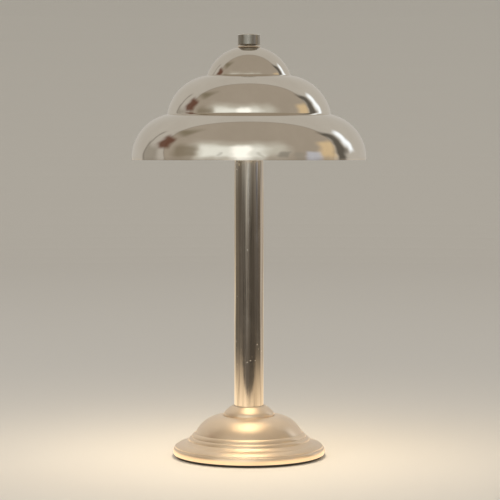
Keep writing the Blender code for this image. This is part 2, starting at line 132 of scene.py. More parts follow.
def rounded(corner, before, after, radius, count=4):
    """A corner of an outline replaced by a short curve of about this radius."""
    to_before = Vector(before) - Vector(corner)
    to_after = Vector(after) - Vector(corner)
    start = Vector(corner) + to_before.normalized() * radius
    end = Vector(corner) + to_after.normalized() * radius
    points = []
    for step in range(count + 1):
        part = step / count
        point = start * (1 - part) ** 2 + Vector(corner) * 2 * part * (1 - part) + end * part ** 2
        points.append(tuple(point))
    return points


def soften(outline, radius, turn_degrees=25, closed=True):
    """Rounds the sharp corners of an outline and leaves its smooth stretches alone."""
    made = []
    last = len(outline) - 1
    for index, corner in enumerate(outline):
        if not closed and index in (0, last):
            made.append(corner)
            continue
        before = outline[index - 1]
        after = outline[(index + 1) % len(outline)]
        into = Vector(corner) - Vector(before)
        out = Vector(after) - Vector(corner)
        room = min(into.length, out.length) * 0.45
        if into.length < 1e-6 or out.length < 1e-6:
            continue
        if math.degrees(into.angle(out)) > turn_degrees and room > 0.02:
            made += rounded(corner, before, after, min(radius, room))
        else:
            made.append(corner)
    return made


def hold(outline, closed):
    """Long straight stretches get a point near each end, so that their shading stays straight."""
    distance = 0.3
    made = []
    last = len(outline) if closed else len(outline) - 1
    for index, point in enumerate(outline):
        made.append(point)
        if index == last:
            break
        after = Vector(outline[(index + 1) % len(outline)])
        start = Vector(point)
        length = (after - start).length
        if length > 20 * distance:
            made.append(tuple(start.lerp(after, distance / length)))
            made.append(tuple(after.lerp(start, distance / length)))
    return made


# ---- pieces -------------------------------------------------------------------------------

def lathe(name, outline, mats, steps=192, closed=True, inner=None):
    """A turned mesh from an outline in millimetres that runs down its outer side.

    Faces whose stretch of outline is past index inner get the second material.
    """
    mesh = bpy.data.meshes.new(name)
    shape = bmesh.new()
    loops = []
    inner_points = len(hold(outline[:inner + 1], False)) - 1 if inner is not None else None
    outline = hold(outline, closed)
    for radius, height in outline:
        if radius < 1e-4:
            loops.append([shape.verts.new((0.0, 0.0, height * MM))])
            continue
        loop = []
        for step in range(steps):
            angle = math.tau * step / steps
            loop.append(shape.verts.new((radius * MM * math.cos(angle),
                                         radius * MM * math.sin(angle), height * MM)))
        loops.append(loop)
    pairs = len(loops) if closed else len(loops) - 1
    for index in range(pairs):
        upper = loops[index]
        lower = loops[(index + 1) % len(loops)]
        for step in range(steps):
            after = (step + 1) % steps
            corners = [upper[step % len(upper)], lower[step % len(lower)],
                       lower[after % len(lower)], upper[after % len(upper)]]
            unique = list(dict.fromkeys(corners))
            if len(unique) > 2:
                face = shape.faces.new(unique)
                face.smooth = True
                if inner is not None and index >= inner_points:
                    face.material_index = 1
    shape.to_mesh(mesh)
    shape.free()
    mesh.set_sharp_from_angle(angle=math.radians(40))
    for mat in mats:
        mesh.materials.append(mat)
    return add_object(name, mesh)


def stands_for(piece, node, body="lamp"):
    """The piece rides on a body and is shown in place of a CAD node."""
    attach(piece, body)
    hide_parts(node)
    return piece


# ---- materials ----------------------------------------------------------------------------

class Nodes:
    """A node tree, with short calls that add and link nodes."""

    def __init__(self, tree):
        self.tree = tree

    def node(self, kind, inputs=None, **settings):
        made = self.tree.nodes.new(kind)
        for key, value in settings.items():
            setattr(made, key, value)
        for key, value in (inputs or {}).items():
            self.feed(made.inputs[key], value)
        return made

    def feed(self, socket, value):
        if isinstance(value, bpy.types.NodeSocket):
            self.tree.links.new(value, socket)
        else:
            socket.default_value = value

    def math(self, operation, *values):
        made = self.tree.nodes.new("ShaderNodeMath")
        made.operation = operation
        for socket, value in zip(made.inputs, values):
            self.feed(socket, value)
        return made.outputs[0]

    def spread(self, value, low, high, out_low, out_high, smooth=False):
        """Value from low..high mapped to out_low..out_high and clamped there."""
        kind = 'SMOOTHSTEP' if smooth else 'LINEAR'
        made = self.node("ShaderNodeMapRange", {"Value": value, "From Min": low, "From Max": high,
                                                "To Min": out_low, "To Max": out_high},
                         interpolation_type=kind)
        return made.outputs[0]

    def mix(self, factor, first, second):
        made = self.node("ShaderNodeMix", data_type='RGBA')
        self.feed(made.inputs[0], factor)
        self.feed(made.inputs[6], (*first, 1.0) if isinstance(first, tuple) else first)
        self.feed(made.inputs[7], (*second, 1.0) if isinstance(second, tuple) else second)
        return made.outputs[2]


class Graph(Nodes):
    """The node tree of one material."""

    def __init__(self, name):
        self.material = bpy.data.materials.new(name)
        self.material.use_nodes = True
        super().__init__(self.material.node_tree)
        self.shader = self.tree.nodes["Principled BSDF"]

    def place(self):
        """Object coordinates, which are the lamp's own, in metres."""
        return self.node("ShaderNodeTexCoord").outputs["Object"]

    def around(self, along, turn):
        """Coordinates that follow a turned surface: fine along its outline, slow round it."""
        x, y, z = self.node("ShaderNodeSeparateXYZ", {0: self.place()}).outputs
        radius = self.math('MAXIMUM', 1e-5, self.math('SQRT', self.math(
            'ADD', self.math('MULTIPLY', x, x), self.math('MULTIPLY', y, y))))
        across = self.math('MULTIPLY', self.math('DIVIDE', x, radius), turn)
        deep = self.math('MULTIPLY', self.math('DIVIDE', y, radius), turn)
        fine = self.math('MULTIPLY', self.math('SUBTRACT', radius, z), along)
        return self.node("ShaderNodeCombineXYZ", {0: across, 1: deep, 2: fine}).outputs[0]

    def stretched(self, across, along):
        """Coordinates for lines that run along the lamp's axis."""
        return self.node("ShaderNodeVectorMath", {0: self.place(), 1: (across, across, along)},
                         operation='MULTIPLY').outputs[0]

    def noise(self, vector, scale, detail=2.0, roughness=0.5):
        made = self.node("ShaderNodeTexNoise", {"Vector": vector, "Scale": scale,
                                                "Detail": detail, "Roughness": roughness})
        return made.outputs[0]

    def bump(self, height, distance, normal=None):
        inputs = {"Height": height, "Distance": distance, "Strength": 1.0}
        if normal is not None:
            inputs["Normal"] = normal
        return self.node("ShaderNodeBump", inputs).outputs[0]

    def finish(self, **sockets):
        for name, value in sockets.items():
            if isinstance(value, tuple) and len(value) == 3:
                value = (*value, 1.0)
            self.feed(self.shader.inputs[name.replace("_", " ")], value)
        return self.material


def tarnished_and_groove_shaded(graph, colour, dark, bright, amount):
    """Base colour with painted shade in its grooves, brighter on worn edges, with a slow cloudy
    tarnish.
    """
    pointed = graph.node("ShaderNodeNewGeometry").outputs["Pointiness"]
    # painted shade: the grooves go all the way to the dark tone
    groove = graph.spread(pointed, 0.48, 0.42, 0.0, 1.0)
    edge = graph.spread(pointed, 0.53, 0.6, 0.0, amount)
    cloud = graph.spread(graph.noise(graph.place(), 14.0, 4.0, 0.6), 0.4, 0.75, 0.0, 0.35)
    tarnished = graph.mix(cloud, colour, dark)
    groove_shaded = graph.mix(groove, tarnished, dark)
    return graph.mix(edge, groove_shaded, bright)


ACROSS = 0.25             # of a turn: highlights run across the lathe's lines
LACQUER_ROUGH = 0.5
LACQUER_IOR = 2.2


def turned_metal(name, colour, dark, bright, rough, line_mm, line_depth, ripple_depth=0.0,
                 anisotropic=0.0, smudge=0.05, edge_wear=0.4, contrast=0.3, lacquer=0.0,
                 metallic=1.0):
    """Metal finished on a lathe: fine lines round the axis, smudges and a few scratches."""
    graph = Graph(name)
    fine = graph.noise(graph.around(1.0 / (line_mm * MM), 1.2), 1.0, 3.0, 0.7)
    prints = graph.noise(graph.place(), 38.0, 5.0, 0.65)
    hairs = graph.node("ShaderNodeTexNoise", {"Vector": graph.around(260.0, 26.0),
                                              "Scale": 1.0, "Detail": 6.0, "Distortion": 1.6})
    scratch = graph.spread(hairs.outputs[0], 0.73, 0.76, 0.0, 1.0)
    rough_fine = graph.spread(fine, 0.3, 0.7, rough * (1 - contrast), rough * (1 + contrast))
    rough_print = graph.spread(prints, 0.5, 0.75, 0.0, smudge)
    rough_all = graph.math('ADD', graph.math('ADD', rough_fine, rough_print),
                           graph.math('MULTIPLY', scratch, 0.05))
    normal = graph.bump(fine, line_depth * MM)
    if ripple_depth:
        broad = graph.noise(graph.around(1.0 / (12 * line_mm * MM), 0.8), 1.0, 1.0)
        normal = graph.bump(broad, ripple_depth * MM, normal)
    normal = graph.bump(scratch, -0.0008 * MM, normal)
    tangent = graph.node("ShaderNodeTangent", direction_type='RADIAL', axis='Z').outputs[0]
    return graph.finish(Base_Color=tarnished_and_groove_shaded(graph, colour, dark, bright, edge_wear), Metallic=metallic,
                        Roughness=rough_all, Normal=normal, Anisotropic=anisotropic,
                        Anisotropic_Rotation=ACROSS, Tangent=tangent, Coat_Weight=lacquer,
                        Coat_Roughness=LACQUER_ROUGH, Coat_IOR=LACQUER_IOR)


def drawn_metal(name, colour, dark, bright, rough):
    """Polished tube with draw lines along it, pin-holes and small bright nicks."""
    graph = Graph(name)
    # round the tube a line is about a millimetre wide, and along it many centimetres long
    lines = graph.noise(graph.stretched(900.0, 9.0), 1.0, 4.0, 0.65)
    bands = graph.noise(graph.stretched(240.0, 5.0), 1.0, 2.0)
    pits = graph.node("ShaderNodeTexVoronoi", {"Vector": graph.place(), "Scale": 330.0})
    pit = graph.spread(pits.outputs["Distance"], 0.17, 0.08, 0.0, 1.0)
    chance = graph.spread(graph.noise(graph.place(), 60.0), 0.57, 0.64, 0.0, 1.0)
    pit = graph.math('MULTIPLY', pit, chance)
    prints = graph.noise(graph.place(), 45.0, 5.0, 0.65)
    rough_all = graph.math('ADD', graph.spread(lines, 0.3, 0.7, rough * 0.7, rough * 1.5),
                           graph.spread(prints, 0.5, 0.75, 0.0, 0.07))
    rough_all = graph.math('ADD', rough_all, graph.math('MULTIPLY', pit, 0.45))
    tone = graph.mix(graph.spread(bands, 0.42, 0.62, 0.0, 1.0), colour, dark)
    seam = graph.spread(lines, 0.57, 0.67, 0.0, 0.85)
    tone = graph.mix(seam, tone, (0.16, 0.14, 0.115))
    tone = graph.mix(graph.math('MULTIPLY', pit, 0.8), tone, bright)
    normal = graph.bump(lines, 0.0012 * MM)
    normal = graph.bump(bands, 0.01 * MM, normal)
    normal = graph.bump(pit, -0.03 * MM, normal)
    return graph.finish(Base_Color=tone, Metallic=1.0, Roughness=rough_all, Normal=normal)


def grained(name, colour, second, rough, scale, depth, metallic=0.0):
    """Any plain surface with a fine grain: two tones, uneven gloss and a small relief."""
    graph = Graph(name)
    grain = graph.noise(graph.place(), scale, 6.0, 0.6)
    slow = graph.noise(graph.place(), scale / 6, 3.0)
    tone = graph.mix(graph.spread(slow, 0.35, 0.65, 0.0, 1.0), colour, second)
    rough_all = graph.spread(grain, 0.3, 0.7, rough * 0.85, min(1.0, rough * 1.2))
    return graph.finish(Base_Color=tone, Metallic=metallic, Roughness=rough_all,
                        Normal=graph.bump(grain, depth * MM))


def opal(name):
    """Opal acrylic over a ring of diodes: a warm glow with a softly brighter spot at each."""
    graph = Graph(name)
    x, y = graph.node("ShaderNodeSeparateXYZ", {0: graph.place()}).outputs[:2]
    angle = graph.math('ARCTAN2', y, x)
    spots = graph.math('COSINE', graph.math('MULTIPLY', angle, LED_COUNT))
    radius = graph.math('SQRT', graph.math('ADD', graph.math('MULTIPLY', x, x),
                                           graph.math('MULTIPLY', y, y)))
    off = graph.math('ABSOLUTE', graph.math('SUBTRACT', radius, LED_RING_R * MM))
    near = graph.spread(off, 0.009, 0.0, 0.0, 1.0)
    level = graph.math('ADD', 4.0, graph.math('MULTIPLY', graph.spread(spots, -1.0, 1.0, 0.0, 3.0),
                                              near))
    haze = graph.noise(graph.place(), 900.0, 4.0)
    return graph.finish(Base_Color=(0.9, 0.86, 0.78), Roughness=0.42,
                        Normal=graph.bump(haze, 0.004 * MM), Emission_Color=(1.0, 0.80, 0.55),
                        Emission_Strength=level)


NICKEL = (0.80, 0.755, 0.69)
NICKEL_DARK = (0.52, 0.47, 0.40)
NICKEL_BRIGHT = (0.93, 0.90, 0.85)

POLISHED = turned_metal("polished_nickel", NICKEL, NICKEL_DARK, NICKEL_BRIGHT, rough=0.055,
                        line_mm=0.8, line_depth=0.00025, ripple_depth=0.008, smudge=0.06)
SPUN_INSIDE = turned_metal("spun_inside", (0.74, 0.71, 0.66), NICKEL_DARK, NICKEL_BRIGHT,
                           rough=0.34, line_mm=0.9, line_depth=0.004)
# painted warm light: this nickel and its dark and bright tones are tinted warm for the lamp's light
# on the base; the shade's nickel is neutral
SATIN_PAINTED_WARM = turned_metal("satin_nickel", (0.91, 0.725, 0.53), (0.36, 0.27, 0.18),
                     (0.97, 0.88, 0.74), rough=0.3, line_mm=0.8, line_depth=0.00006,
                     anisotropic=0.3, smudge=0.02, edge_wear=0.5, contrast=0.06, lacquer=0.7,
                     metallic=0.84)
KNOB_METAL = turned_metal("knob_nickel", (0.43, 0.41, 0.37), (0.3, 0.28, 0.245),
                          (0.85, 0.83, 0.78), rough=0.33, line_mm=0.4, line_depth=0.0015,
                          smudge=0.08, edge_wear=0.8)
# the knob's top chamfer: a real glossier polish, and a much paler colour that is a painted highlight
KNOB_EDGE_HIGHLIGHT = turned_metal("painted_highlight_nickel", (0.86, 0.84, 0.79), (0.6, 0.57, 0.5),
                        (0.95, 0.93, 0.9), rough=0.16, line_mm=0.3, line_depth=0.0004)
STEM_METAL = drawn_metal("stem_nickel", (0.74, 0.70, 0.64), (0.50, 0.46, 0.40),
                         (0.95, 0.93, 0.88), rough=0.09)
OPAL = opal("opal_diffuser")

# two tones, roughness, fineness of the grain, its depth in millimetres, metallic
GRAINED = {
    "aluminium": ((0.74, 0.75, 0.76), (0.66, 0.67, 0.68), 0.38, 600.0, 0.006, 1.0),
    "zinc_steel": ((0.62, 0.61, 0.58), (0.53, 0.53, 0.52), 0.34, 700.0, 0.006, 1.0),
    "brass": ((0.80, 0.61, 0.33), (0.68, 0.50, 0.26), 0.28, 700.0, 0.005, 1.0),
    "cast_iron": ((0.11, 0.11, 0.11), (0.17, 0.14, 0.12), 0.7, 500.0, 0.12, 0.7),
    "led_phosphor": ((0.95, 0.75, 0.3), (0.9, 0.68, 0.25), 0.4, 2000.0, 0.003),
    "led_board_white": ((0.86, 0.86, 0.83), (0.8, 0.8, 0.77), 0.45, 800.0, 0.004),
    "circuit_board": ((0.04, 0.24, 0.11), (0.03, 0.19, 0.09), 0.4, 800.0, 0.004),
    "black_plastic": ((0.03, 0.03, 0.03), (0.045, 0.045, 0.045), 0.5, 1200.0, 0.01),
    "fibre_washer": ((0.36, 0.12, 0.08), (0.28, 0.09, 0.06), 0.8, 1500.0, 0.02),
    "cell_wrap": ((0.09, 0.27, 0.5), (0.08, 0.23, 0.44), 0.32, 400.0, 0.004),
    "cable_jacket": ((0.04, 0.04, 0.04), (0.06, 0.06, 0.06), 0.6, 900.0, 0.01),
    "black_rubber": ((0.018, 0.017, 0.016), (0.03, 0.028, 0.026), 0.8, 900.0, 0.03),
}
FINISHES = {name: grained(name, *values) for name, values in GRAINED.items()}
FINISHES.update(polished_nickel=POLISHED, satin_nickel=SATIN_PAINTED_WARM, stem_nickel=STEM_METAL,
                knob_nickel=KNOB_METAL, opal_diffuser=OPAL)


def dress_cad_nodes():
    """Every CAD node gets the finish of its slot, and round ones are shaded smooth."""
    slots = {part["node"]: part["material_slot"] for part in frame["record"]["subparts"]}
    for name, node in frame["nodes"].items():
        node.data.materials.clear()
        node.data.materials.append(FINISHES[slots[name]])
        node.data.shade_smooth()
        node.data.set_sharp_from_angle(angle=math.radians(30))


# ---- the lamp's visible pieces ------------------------------------------------------------

def shade_outline(count):
    """(outline, index where its inside begins): down the outside, then up the inside."""
    outside = [(BUSH_HOLE_R, CROWN_Z)]
    inside = [(BUSH_HOLE_R, CROWN_Z - SHADE_WALL)]
    tops = [CROWN_R] + [seam[0] for seam in reversed(SEAMS)]
    feet = [seam[1] for seam in reversed(SEAMS)] + [SHADE_RIM_Z + LIP_H]
    for tier, top_r, foot_z in zip(reversed(TIERS), tops, feet):
        centre_r, centre_z, width, height = tier
        thick = 0.0 if top_r == CROWN_R else SHADE_WALL
        high = math.acos((top_r - centre_r) / width)
        low = math.asin((foot_z - centre_z) / height)
        outside += quarter_round(tier, low, high, 0.0, count)
        high = math.acos((top_r - thick - centre_r) / (width - SHADE_WALL))
        low = math.asin(max(0.0, foot_z - SHADE_WALL - centre_z) / (height - SHADE_WALL))
        inside += quarter_round(tier, low, high, SHADE_WALL, count)
    outside.append((SHADE_R, SHADE_RIM_Z))
    inside.append((SHADE_R - SHADE_WALL, SHADE_RIM_Z))
    outside = soften(drop_doubles(outside), 0.4, closed=False)
    inside = list(reversed(drop_doubles(inside)))
    return outside + inside, len(outside)


def drop_doubles(points, closest=0.05):
    kept = [points[0]]
    for point in points[1:]:
        if math.dist(point, kept[-1]) > closest:
            kept.append(point)
    return kept


def make_shade():
    outline, inner = shade_outline(40)
    shade = lathe("shade_spun", outline, [POLISHED, SPUN_INSIDE], 256, inner=inner)
    stands_for(shade, "shade")


def make_knob():
    """A plain knob, hollow below, with a bore for its shaft, and a glossier, much paler top chamfer
    that paints a bright highlight line.
    """
    low = KNOB_BOTTOM_Z
    chamfer = 0.6
    hollow_r = 6.5
    hollow_z = low + 2.0
    bore_r = 2.3
    bore_z = low + 6.4
    outline = [(0.0, KNOB_TOP_Z), (KNOB_R - chamfer, KNOB_TOP_Z), (KNOB_R, KNOB_TOP_Z - chamfer),
               (KNOB_R, low + 0.3), (KNOB_R - 0.3, low), (hollow_r, low),
               (hollow_r, hollow_z), (bore_r, hollow_z), (bore_r, bore_z), (0.0, bore_z)]
    knob = lathe("knob_turned", soften(outline, 0.18, closed=False), [KNOB_METAL], 128,
                 closed=False)
    knob.data.materials.append(KNOB_EDGE_HIGHLIGHT)
    # the top chamfer takes the pale finish: a painted highlight line along the edge
    edge = chamfer + 0.1
    for face in knob.data.polygons:
        out = math.hypot(face.center.x, face.center.y) / MM
        if out > KNOB_R - edge and face.center.z / MM > KNOB_TOP_Z - edge:
            face.material_index = 1
    stands_for(knob, "dimmer_knob", "knob")


def make_ring():
    """The clamping ring under the knob."""
    hole_r = 3.7
    shoulder = (RING_R - 1.0, RING_TOP_Z)
    outline = [(hole_r, RING_TOP_Z), shoulder]
    outline += arc(shoulder, (RING_R, RING_BOTTOM_Z), 0.2, 6)
    outline.append((hole_r, RING_BOTTOM_Z))
    stands_for(lathe("knob_ring", outline, [SATIN_PAINTED_WARM], 128), "shade_collar")


def make_stem():
    bore = STEM_R - STEM_WALL
    tube = [(bore, STEM_TOP_Z), (STEM_R, STEM_TOP_Z), (STEM_R, STEM_BOTTOM_Z),
            (bore, STEM_BOTTOM_Z)]
    stem = lathe("stem_tube", soften(tube, 0.3), [STEM_METAL], 128)
    stands_for(stem, "stem")


def make_base():
    """The spun base: collar seat, dome, two beads in grooves, cove, flange and rim bead."""
    hole_r = 5.5
    seat = BASE_TOP_Z - 0.8
    outline = [(hole_r, seat), (22.0, seat), (22.15, seat + 0.1), (22.25, seat + 0.6)]
    # dome
    outline += [(22.6, BASE_TOP_Z)] + arc((22.6, BASE_TOP_Z), (45.75, 21.0), 3.9, 24)
    # groove and bead, twice, and a last groove
    outline += [(45.95, 20.4), (46.15, 20.2), (46.4, 20.55)]
    outline += arc((46.4, 20.55), (49.0, 18.0), 0.35, 7)
    outline += [(49.05, 17.5), (49.2, 17.2), (49.5, 17.25)]
    outline += arc((49.5, 17.25), (51.9, 15.2), 0.35, 7)
    outline += [(51.9, 14.7), (52.05, 14.25), (52.3, 14.1)]
    # cove, flange, groove and rim bead
    outline += arc((52.3, 14.1), (56.2, 12.0), -0.12, 8)
    outline += arc((56.2, 12.0), (63.6, 9.15), 0.7, 10)
    outline += [(63.65, 8.5), (63.85, 8.1), (64.2, 7.9), (64.7, 7.55)]
    outline += arc((64.7, 7.55), (64.7, BASE_BOTTOM_Z), BASE_R - 64.7, 10)
    inner = len(outline)
    outline += [(63.9, BASE_BOTTOM_Z), (63.9, 5.8), (61.6, 7.8), (56.0, 10.3), (50.7, 13.1),
                (50.1, 15.0)]
    under_seat = seat - BASE_WALL
    outline += list(reversed(arc((20.8, under_seat), (45.2, 19.1), 3.5, 8)))
    outline += [(20.8, under_seat), (hole_r, under_seat)]
    base = lathe("base_spun", outline, [SATIN_PAINTED_WARM, SPUN_INSIDE], 256, inner=inner)
    cut_socket_slot(base)
    stands_for(base, "base_cover")


def make_cup():
    """The convex cup round the foot of the stem, in three arcs that steepen outwards."""
    crest = (13.3, CUP_TOP_Z)
    brow = (16.2, CUP_TOP_Z - 1.3)
    hip = (20.7, CUP_TOP_Z - 5.4)
    outline = [(CUP_HOLE_R, CUP_TOP_Z), crest]
    outline += arc(crest, brow, 0.25, 7)
    outline += arc(brow, hip, 0.2, 8)
    outline += arc(hip, (CUP_R, CUP_BOTTOM_Z + 0.8), 0.2, 7)
    outline += [(CUP_R, CUP_BOTTOM_Z + 0.4), (CUP_R - 0.4, CUP_BOTTOM_Z),
                (CUP_HOLE_R, CUP_BOTTOM_Z)]
    cup = lathe("collar_cup", outline, [SATIN_PAINTED_WARM], 160)
    stands_for(cup, "base_collar")


def rounded_block(name, size, centre, corner):
    """A block in millimetres whose four edges along Y are rounded."""
    shape = bmesh.new()
    bmesh.ops.create_cube(shape, size=1.0)
    for vertex in shape.verts:
        vertex.co = Vector([side * part * MM for side, part in zip(size, vertex.co)])
    long = [edge for edge in shape.edges
            if abs(edge.verts[0].co.y - edge.verts[1].co.y) > 0.5 * size[1] * MM]
    bmesh.ops.bevel(shape, geom=long, offset=corner * MM, segments=6, affect='EDGES')
    mesh = bpy.data.meshes.new(name)
    shape.to_mesh(mesh)
    shape.free()
    mesh.transform(Matrix.Translation([place * MM for place in centre]))
    mesh.shade_smooth()
    mesh.set_sharp_from_angle(angle=math.radians(40))
    return add_object(name, mesh)


def upright_rod(name, radius, low, high, at):
    shape = bmesh.new()
    bmesh.ops.create_cone(shape, cap_ends=True, segments=32, radius1=radius * MM,
                          radius2=radius * MM, depth=(high - low) * MM)
    mesh = bpy.data.meshes.new(name)
    shape.to_mesh(mesh)
    shape.free()
    mesh.transform(Matrix.Translation((at[0], at[1], (low + high) / 2 * MM)))
    return add_object(name, mesh)


def carve(piece, *tools):
    """Cuts the tools out of the piece and throws them away."""
    for tool in tools:
        step = piece.modifiers.new(tool.name, 'BOOLEAN')
        step.operation = 'DIFFERENCE'
        step.object = tool
    apply_modifiers(piece)
    for tool in tools:
        bpy.data.objects.remove(tool)


def apply_modifiers(piece):
    graph = bpy.context.evaluated_depsgraph_get()
    graph.update()
    made = bpy.data.meshes.new_from_object(piece.evaluated_get(graph))
    made.name = piece.name
    for face in made.polygons:
        if abs(face.normal.z) > 0.9999:
            face.use_smooth = False
    piece.modifiers.clear()
    piece.data = made


def cut_socket_slot(base):
    """Opens the rim in front of the charging socket."""
    low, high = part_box("usb_socket")
    room = 0.35
    depth = 10.0
    size = ((high.x - low.x) / MM + 2 * room, depth, (high.z - low.z) / MM + 2 * room)
    centre = (0.0, BASE_R, (low.z + high.z) / 2 / MM)
    carve(base, rounded_block("socket_slot", size, centre, 1.2))


def centre_of(node):
    low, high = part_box(node)
    return (low.x + high.x) / 2, (low.y + high.y) / 2


def numbered(name, count):
    return [f"{name}_{index}" for index in range(1, count + 1)]


def drill(piece, screws, radius, low, high):
    """Holes for the screws whose nodes are named."""
    carve(piece, *[upright_rod("hole", radius, low, high, centre_of(node)) for node in screws])


def make_socket():
    """The charging socket: a rounded shell with a black tongue in its mouth."""
    low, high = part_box("usb_socket")
    size = [side / MM for side in high - low]
    middle = [side / MM for side in (high + low) / 2]
    shell = rounded_block("socket_shell", size, middle, 1.35)
    wall = 0.4
    mouth = (size[0] - 2 * wall, size[1], size[2] - 2 * wall)
    carve(shell, rounded_block("mouth", mouth, (middle[0], middle[1] + 1.2, middle[2]), 1.0))
    shell.data.materials.append(FINISHES["zinc_steel"])
    stands_for(shell, "usb_socket")
    tongue = rounded_block("socket_tongue", (6.4, size[1] - 1.8, 0.7),
                           (middle[0], middle[1] - 0.4, middle[2]), 0.15)
    tongue.data.materials.append(FINISHES["black_plastic"])
    stands_for(tongue, "usb_socket")


def make_screw(node, shank_r, seat, turn):
    """A pan head that faces down, with a cross recess, on a plain shank."""
    low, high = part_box(node)
    head_r = (high.x - low.x) / 2 / MM
    top = high.z / MM
    bottom = low.z / MM
    outline = [(0.0, top), (shank_r - 0.2, top), (shank_r, top - 0.3), (shank_r, seat),
               (head_r, seat), (head_r, seat - 0.35 * (seat - bottom))]
    outline += arc(outline[-1], (0.35 * head_r, bottom), 0.16 * head_r, 8) + [(0.0, bottom)]
    screw = lathe(f"{node}_head", outline, [FINISHES["zinc_steel"]], 48, closed=False)
    slots = []
    for angle in (turn, turn + 90.0):
        slot = rounded_block("slot", (0.3 * head_r, 1.15 * head_r, 0.9), (0.0, 0.0, bottom), 0.02)
        slot.data.transform(Matrix.Rotation(math.radians(angle), 4, 'Z'))
        slots.append(slot)
    carve(screw, *slots)
    screw.data.transform(Matrix.Translation((*centre_of(node), 0.0)))
    stands_for(screw, node)


def make_fixings():
    for index, turn in enumerate((20.0, 71.0, 38.0), start=1):
        make_screw(f"bezel_screw_{index}", 1.1, BEZEL_TOP_Z - 1.7, turn)
        make_screw(f"base_screw_{index}", 1.5, PAD_TOP_Z, 90.0 - turn)


def make_plate():
    radius, bottom, top = span("base_plate")
    outline = [(0.0, top), (radius, top), (radius, bottom), (0.0, bottom)]
    plate = lathe("bottom_plate", soften(outline, 0.25, closed=False),
                  [FINISHES["zinc_steel"]], 192, closed=False)
    drill(plate, numbered("base_screw", 3), 1.8, bottom - 1, top + 1)
    stands_for(plate, "base_plate")


def make_foot():
    hole_r = PAD_R - PAD_WIDTH
    pad = [(hole_r, PAD_TOP_Z), (PAD_R, PAD_TOP_Z), (PAD_R, PAD_BOTTOM_Z), (hole_r, PAD_BOTTOM_Z)]
    ring = lathe("foot_ring", soften(pad, 0.35), [FINISHES["black_rubber"]], 160)
    stands_for(ring, "foot_pad")


def make_diffuser():
    outer_wall = OPAL_R - OPAL_WALL
    inner_wall = OPAL_HOLE_R + OPAL_WALL
    floor = OPAL_BOTTOM_Z + 1.4
    outline = [(outer_wall, OPAL_TOP_Z), (OPAL_R, OPAL_TOP_Z), (OPAL_R, OPAL_BOTTOM_Z),
               (OPAL_HOLE_R, OPAL_BOTTOM_Z), (OPAL_HOLE_R, STEM_TOP_Z), (inner_wall, STEM_TOP_Z),
               (inner_wall, floor), (outer_wall, floor)]
    diffuser = lathe("opal_ring", soften(outline, 0.7), [OPAL], 160)
    stands_for(diffuser, "diffuser")


def make_bezel():
    inner_r = OPAL_R + GAP
    outer_r = inner_r + BEZEL_WALL
    lip_r = OPAL_R - 1.6
    flange_z = BEZEL_TOP_Z - 1.4
    lip_z = OPAL_BOTTOM_Z - GAP
    outline = [(inner_r, BEZEL_TOP_Z), (BEZEL_R, BEZEL_TOP_Z), (BEZEL_R, flange_z),
               (outer_r, flange_z), (outer_r, BEZEL_BOTTOM_Z), (lip_r, BEZEL_BOTTOM_Z),
               (lip_r, lip_z), (inner_r, lip_z)]
    bezel = lathe("bezel_ring", soften(outline, 0.4), [SATIN_PAINTED_WARM], 192)
    drill(bezel, numbered("bezel_screw", 3), 1.4, flange_z - 1, BEZEL_TOP_Z + 1)
    stands_for(bezel, "diffuser_bezel")


def make_heat_sink():
    radius, bottom, top = span("heat_sink")
    outline = [(SINK_HOLE_R, top), (radius, top), (radius, bottom), (SINK_HOLE_R, bottom)]
    sink = lathe("sink_ring", soften(outline, 0.5), [FINISHES["aluminium"]], 192)
    for name, count, hole_r in (("bezel_screw", 3, 1.4), ("housing_screw", 2, 1.5),
                                ("head_screw", 3, 1.6)):
        drill(sink, numbered(name, count), hole_r, bottom - 1, top + 1)
    stands_for(sink, "heat_sink")


dress_cad_nodes()
make_shade()
make_knob()
make_ring()
make_stem()
make_base()
make_cup()
make_foot()
make_diffuser()
make_bezel()
make_heat_sink()
make_socket()
make_fixings()
make_plate()


# ---- studio -------------------------------------------------------------------------------

CAMERA_PLACE = (0.0009, -1.584, 0.2597)
CAMERA_PITCH = 2.966      # degrees down
CAMERA_LENS = 133.2
# the card is no lamp: its glow paints a reflection of a warm-lit floor into polished metal
CARD_FRONT = -0.42        # the warm card that polished pieces mirror, like a counter's edge
CARD_BACK = 1.2
CARD_HALF = 1.1
CARD_Z = -0.0002


def plain(name, colour, rough):
    return Graph(name).finish(Base_Color=colour, Roughness=rough)


def make_floor():
    """A pale floor that sweeps up far behind, and a glowing card that only polished metal sees: a
    painted reflection of the floor and the lamp's warm pool of light.
    """
    paint = plain("floor_paint", (0.72, 0.71, 0.69), 0.7)
    near, reach, rise = 1300.0, 2700.0, 1500.0
    floor = lathe("floor", [(near, 0.0), (0.0, 0.0)], [paint], 96, closed=False)
    floor.visible_glossy = False

    outline = [(reach + rise, 5000.0), (reach + rise, rise)]
    outline += arc((reach + rise, rise), (reach, 0.0), rise * (1 - math.sqrt(0.5)), 24)
    outline.append((near, 0.0))
    sweep = lathe("sweep", outline, [paint], 96, closed=False)
    sweep.visible_glossy = False
    sweep.visible_diffuse = False
    sweep.visible_shadow = False

    mesh = bpy.data.meshes.new("reflection_card")
    mesh.from_pydata([(-CARD_HALF, CARD_FRONT, CARD_Z), (CARD_HALF, CARD_FRONT, CARD_Z),
                      (CARD_HALF, CARD_BACK, CARD_Z), (-CARD_HALF, CARD_BACK, CARD_Z)],
                     [], [(0, 1, 2, 3)])
    mesh.materials.append(painted_reflection_glow())
    card = add_object("reflection_card", mesh)
    card.visible_camera = False
    card.visible_diffuse = False
    card.visible_shadow = False


